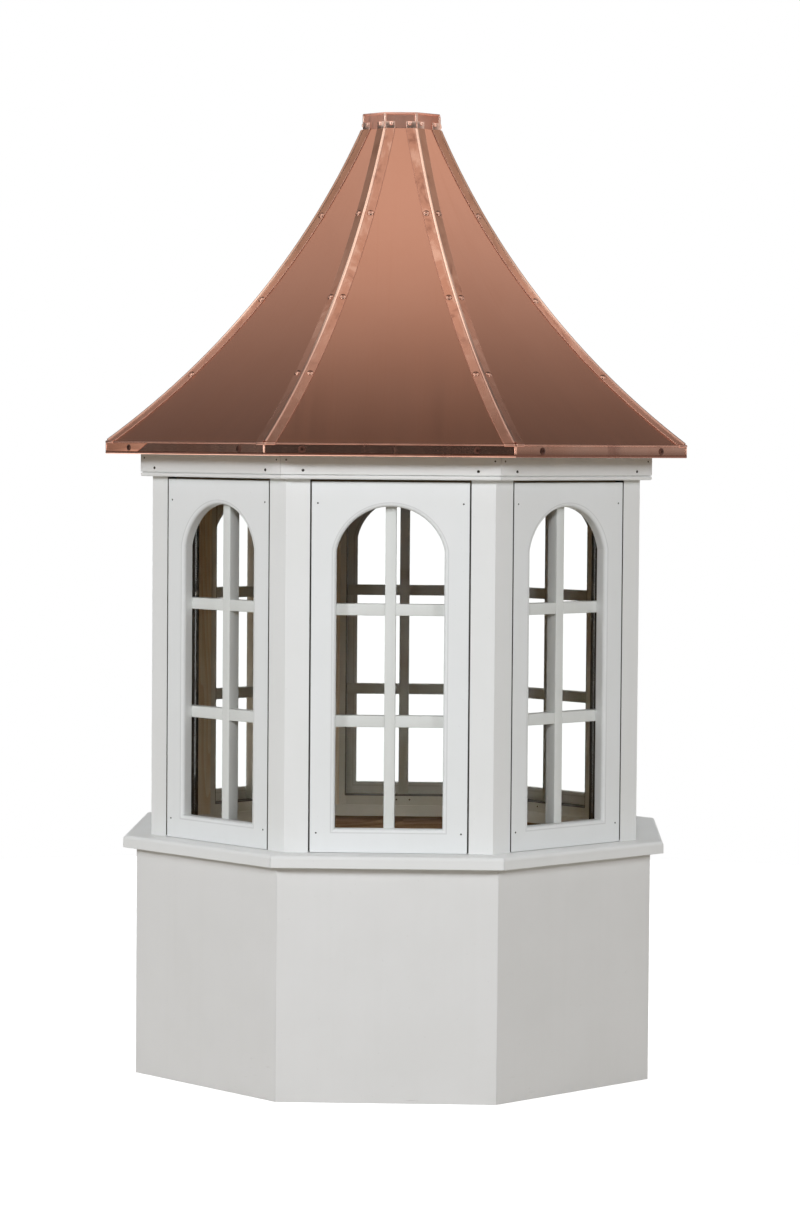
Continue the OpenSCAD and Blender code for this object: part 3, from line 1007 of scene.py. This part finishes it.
def fascia_lap():
    """The end of the fascia's strip, lapped over its start at one corner and cut on a slant."""
    bm = bmesh.new()
    outer = half_width(FASCIA_FLAT) - 0.0010
    low = on_front(-outer, FASCIA_FLAT + LAP_T, FASCIA_FOOT + HEM_H)
    high = on_front(LAP_REACH - outer, FASCIA_FLAT - 0.0003, FASCIA_TOP - ROLL_H)
    add_bar(bm, low, high, 0.0002)
    middle = Matrix.Translation((low + high) / 2)
    slant = Matrix.Identity(4)
    slant[0][2] = LAP_SLANT / (high.z - low.z)
    cut_end = [vert for vert in bm.verts if vert.co.x > (low.x + high.x) / 2]
    bmesh.ops.transform(bm, matrix=middle @ slant @ middle.inverted(), verts=cut_end)
    bmesh.ops.transform(bm, matrix=at_side(SIDES.index("front_left")), verts=bm.verts)
    new_piece("fascia_lap", bm, copper_lap)


upright_seams(
    "eave_seams", FASCIA_FLAT, FASCIA_FOOT + 0.0004, FASCIA_TOP - 0.0002, SEAM_R,
    copper_fascia,
)
upright_seams(
    "collar_seams", CAP_FLAT, CAP_FOOT + 0.0080, CAP_TOP - 0.0006, COLLAR_SEAM_R,
    copper_tab,
)
eave_wraps()
fascia_lap()
collar_strap_ends()
collar_hem()


# Studio

FILL = 0.21
FILL_COLOR = (1.0, 0.92, 0.80, 1.0)
INSIDE_COLOR = (0.74, 0.46, 0.18, 1.0)
GLOW_COLOR = (0.78, 0.75, 0.66, 1.0)
INSIDE_GLOW = 58.0
PANE_LOSS = 0.10
FLOOR_R = 2.4
FLOOR_PALE = 0.50
FLOOR_GLOW = 0.90
LAMP_COLOR = (0.97, 1.0, 1.05)
LAMP_SIZE = 0.7
LAMP_DISTANCE = 4.5
LAMP_AIM = Vector((0, 0, 0.65))

# Azimuth to the right of the front and elevation, in degrees, and power in watts
LAMPS = {
    "front_left_lamp": (-47, 15, 59.0),
    "front_right_lamp": (47, 15, 38.5),
    "front_lamp": (0, 17, 52.0),
    "back_left_lamp": (-133, 13, 60.0),
    "back_right_lamp": (133, 13, 60.0),
    "back_lamp": (180, 21, 50.0),
}


def white_for_view(made):
    """1 for rays that show the background, straight or in metal or glazing, and 0 for rays that light."""
    path = made.add("ShaderNodeLightPath").outputs
    mirrored = made.math("MAXIMUM", path["Is Glossy Ray"], path["Is Transmission Ray"])
    unscattered = made.math("LESS_THAN", path["Diffuse Depth"], 0.5)
    seen = made.math("MULTIPLY", mirrored, unscattered)
    return made.math("MAXIMUM", path["Is Camera Ray"], seen), path


def fill_color(made, path):
    """The colour of the fill light: warm, and warmer still where it comes in through the panes."""
    inside = made.math("GREATER_THAN", path["Transmission Depth"], 0.5)
    return made.mix(inside, FILL_COLOR, INSIDE_COLOR)


def studio_world():
    """A white studio. Metal shows it dim overhead and low in front, with bright screens on each hand.

    Light that comes in through the panes from high in front falls in brighter shafts.
    """
    world = bpy.data.worlds.new("studio")
    bpy.context.scene.world = world
    world.use_nodes = True
    world.node_tree.nodes.clear()
    made = Tree(world.node_tree)
    shown, path = white_for_view(made)
    way = made.add("ShaderNodeTexCoord").outputs["Generated"]
    parts = made.add("ShaderNodeSeparateXYZ", {0: way}).outputs
    across, up = parts["X"], parts["Z"]
    level_way = made.add("ShaderNodeVectorMath", {0: way, 1: (1.0, 1.0, 0.0)}, operation="MULTIPLY")
    heading = made.add("ShaderNodeVectorMath", {0: level_way.outputs[0]}, operation="NORMALIZE").outputs[0]

    def towards(x, y, z, of=way):
        aim = Vector((x, y, z)).normalized()
        return made.add("ShaderNodeVectorMath", {0: of, 1: aim}, operation="DOT_PRODUCT").outputs["Value"]

    def upper_screen(x, bright):
        return made.ramp(towards(x, -0.25, 0.80), 0.94, 0.985, 0.0, bright)

    def side_glow(x, y, z, edge, bright):
        return made.ramp(towards(x, y, z), edge, 0.995, 0.0, bright)

    def tall_screen(x, bright):
        width = made.ramp(towards(x, -1.0, 0.0, heading), 0.955, 0.99, 0.0, bright)
        height = made.math("MULTIPLY", made.ramp(up, -0.30, -0.10), made.ramp(up, 0.35, 0.15))
        return made.math("MULTIPLY", width, height)

    sideways = made.math("MULTIPLY", made.math("ABSOLUTE", across), 0.34)
    from_left = made.math("SUBTRACT", sideways, made.math("MULTIPLY", across, -0.03))
    upper_back = made.math("SUBTRACT", towards(0.0, 0.75, 0.66), from_left)
    overhead = made.math("MULTIPLY", made.ramp(upper_back, 0.25, 0.81), made.ramp(up, -0.10, 0.15))
    low = made.ramp(made.math("ABSOLUTE", up), 0.50, 0.28)
    horizon = made.math("MULTIPLY", made.ramp(towards(-0.45, -0.89, 0.0), -1.0, -0.19), low)
    dim = made.math("MAXIMUM", made.math("MULTIPLY", overhead, 0.91), made.math("MULTIPLY", horizon, 0.945))
    uppers = made.math("MAXIMUM", upper_screen(-0.52, 1.2), upper_screen(0.52, 0.7))
    talls = made.math("MAXIMUM", tall_screen(-1.0, 3.6), tall_screen(1.0, 2.8))
    right_glow = side_glow(0.82, 0.18, 0.54, 0.90, 0.10)
    left_glow = side_glow(-0.97, -0.10, 0.20, 0.972, 1.0)
    glows = made.math("ADD", right_glow, left_glow)
    bright = made.math("ADD", made.math("ADD", uppers, talls), glows)
    lively = made.math("SUBTRACT", bright, dim)
    metal = made.math("SUBTRACT", path["Is Glossy Ray"], path["Is Transmission Ray"], clamp=True)
    in_metal = made.math("ADD", 1.0, made.math("MULTIPLY", lively, metal))
    in_view = made.math("ADD", in_metal, made.math("MULTIPLY", path["Is Transmission Ray"], PANE_LOSS))
    inside = made.math("GREATER_THAN", path["Transmission Depth"], 0.5)
    shafts = made.math("MULTIPLY", made.ramp(towards(0.0, -0.84, 0.545), 0.93, 0.985), inside)
    fill_shade = made.mix(shafts, fill_color(made, path), GLOW_COLOR)
    color = made.mix(shown, fill_shade, (1.0, 1.0, 1.0, 1.0))
    fill = made.ramp(shafts, 0.0, 1.0, FILL, FILL * INSIDE_GLOW)
    strength = made.add("ShaderNodeMix", {"Factor": shown, "A": fill, "B": in_view}, data_type="FLOAT")
    sky = made.add("ShaderNodeBackground", {"Color": color, "Strength": strength.outputs[0]})
    made.add("ShaderNodeOutputWorld", {"Surface": sky.outputs[0]})


def studio_floor():
    """A pale disc that keeps the shadow, has no white of its own under the cupola and is clear from below."""
    bm = bmesh.new()
    bmesh.ops.create_circle(bm, cap_ends=True, segments=96, radius=FLOOR_R)
    mesh = bpy.data.meshes.new("floor")
    bm.to_mesh(mesh)
    bm.free()
    material = bpy.data.materials.new("floor")
    material.use_nodes = True
    material.node_tree.nodes.clear()
    made = Tree(material.node_tree)
    shown, path = white_for_view(made)
    pale = (FLOOR_PALE, FLOOR_PALE, FLOOR_PALE, 1.0)
    tinted = made.mix(1.0, fill_color(made, path), pale, "MULTIPLY")
    matt = made.add("ShaderNodeBsdfDiffuse", {"Color": tinted})
    plain = made.add("ShaderNodeBsdfDiffuse", {"Color": pale})
    from_axis = made.add(
        "ShaderNodeVectorMath", {0: made.add("ShaderNodeTexCoord").outputs["Object"]}, operation="LENGTH"
    ).outputs["Value"]
    outdoors = made.math("GREATER_THAN", from_axis, BASE_FLAT - 0.010)
    glow = made.add("ShaderNodeEmission", {"Strength": made.math("MULTIPLY", outdoors, FLOOR_GLOW)})
    white = made.add("ShaderNodeAddShader", {0: plain.outputs[0], 1: glow.outputs[0]})
    lit = made.add("ShaderNodeMixShader", {0: shown, 1: matt.outputs[0], 2: white.outputs[0]})
    from_below = made.add("ShaderNodeNewGeometry").outputs["Backfacing"]
    clear = made.add("ShaderNodeBsdfTransparent")
    sided = made.add("ShaderNodeMixShader", {0: from_below, 1: lit.outputs[0], 2: clear.outputs[0]})
    made.add("ShaderNodeOutputMaterial", {"Surface": sided.outputs[0]})
    mesh.materials.append(material)
    floor = bpy.data.objects.new("floor", mesh)
    bpy.context.scene.collection.objects.link(floor)


def soft_lamp(name, azimuth, elevation, power):
    """A soft lamp that looks at the middle of the cupola, seen by neither metal nor glazing."""
    azimuth, elevation = math.radians(azimuth), math.radians(elevation)
    lamp = bpy.data.lights.new(name, "AREA")
    lamp.shape = "DISK"
    lamp.size = LAMP_SIZE
    lamp.energy = power
    lamp.color = LAMP_COLOR
    item = bpy.data.objects.new(name, lamp)
    item.visible_transmission = False
    item.visible_glossy = False
    bpy.context.scene.collection.objects.link(item)
    way = Vector((
        math.sin(azimuth) * math.cos(elevation), -math.cos(azimuth) * math.cos(elevation), math.sin(elevation)
    ))
    item.location = LAMP_AIM + way * LAMP_DISTANCE
    item.rotation_euler = way.to_track_quat("Z", "Y").to_euler()


studio_world()
studio_floor()
for lamp_name, lamp_values in LAMPS.items():
    soft_lamp(lamp_name, *lamp_values)


# Camera

VIEW_DISTANCE = 4.896
VIEW_HEIGHT = 0.854
VIEW_AZIMUTH = math.radians(1.836)
VIEW_YAW = math.radians(-0.030)
VIEW_PITCH = math.radians(2.675)
VIEW_ROLL = math.radians(0.445)
FOCAL_PIXELS = 3567.0
FRAME_HEIGHT = 1211.0
SENSOR = 36.0


def set_camera():
    camera = bpy.data.cameras.new("camera")
    camera.sensor_width = SENSOR
    camera.lens = SENSOR * FOCAL_PIXELS / FRAME_HEIGHT
    item = bpy.data.objects.new("camera", camera)
    bpy.context.scene.collection.objects.link(item)
    heading = VIEW_AZIMUTH + VIEW_YAW
    level_ahead = Vector((-math.sin(heading), math.cos(heading), 0))
    level_right = Vector((math.cos(heading), math.sin(heading), 0))
    up = Vector((0, 0, 1))
    ahead = math.cos(VIEW_PITCH) * level_ahead - math.sin(VIEW_PITCH) * up
    top = math.cos(VIEW_PITCH) * up + math.sin(VIEW_PITCH) * level_ahead
    right = math.cos(VIEW_ROLL) * level_right + math.sin(VIEW_ROLL) * top
    above = -math.sin(VIEW_ROLL) * level_right + math.cos(VIEW_ROLL) * top
    turn = Matrix((right, above, -ahead)).transposed().to_4x4()
    place = Vector((
        VIEW_DISTANCE * math.sin(VIEW_AZIMUTH), -VIEW_DISTANCE * math.cos(VIEW_AZIMUTH), VIEW_HEIGHT
    ))
    item.matrix_world = Matrix.Translation(place) @ turn
    bpy.context.scene.camera = item


set_camera()
bpy.context.scene.view_settings.view_transform = "Standard"
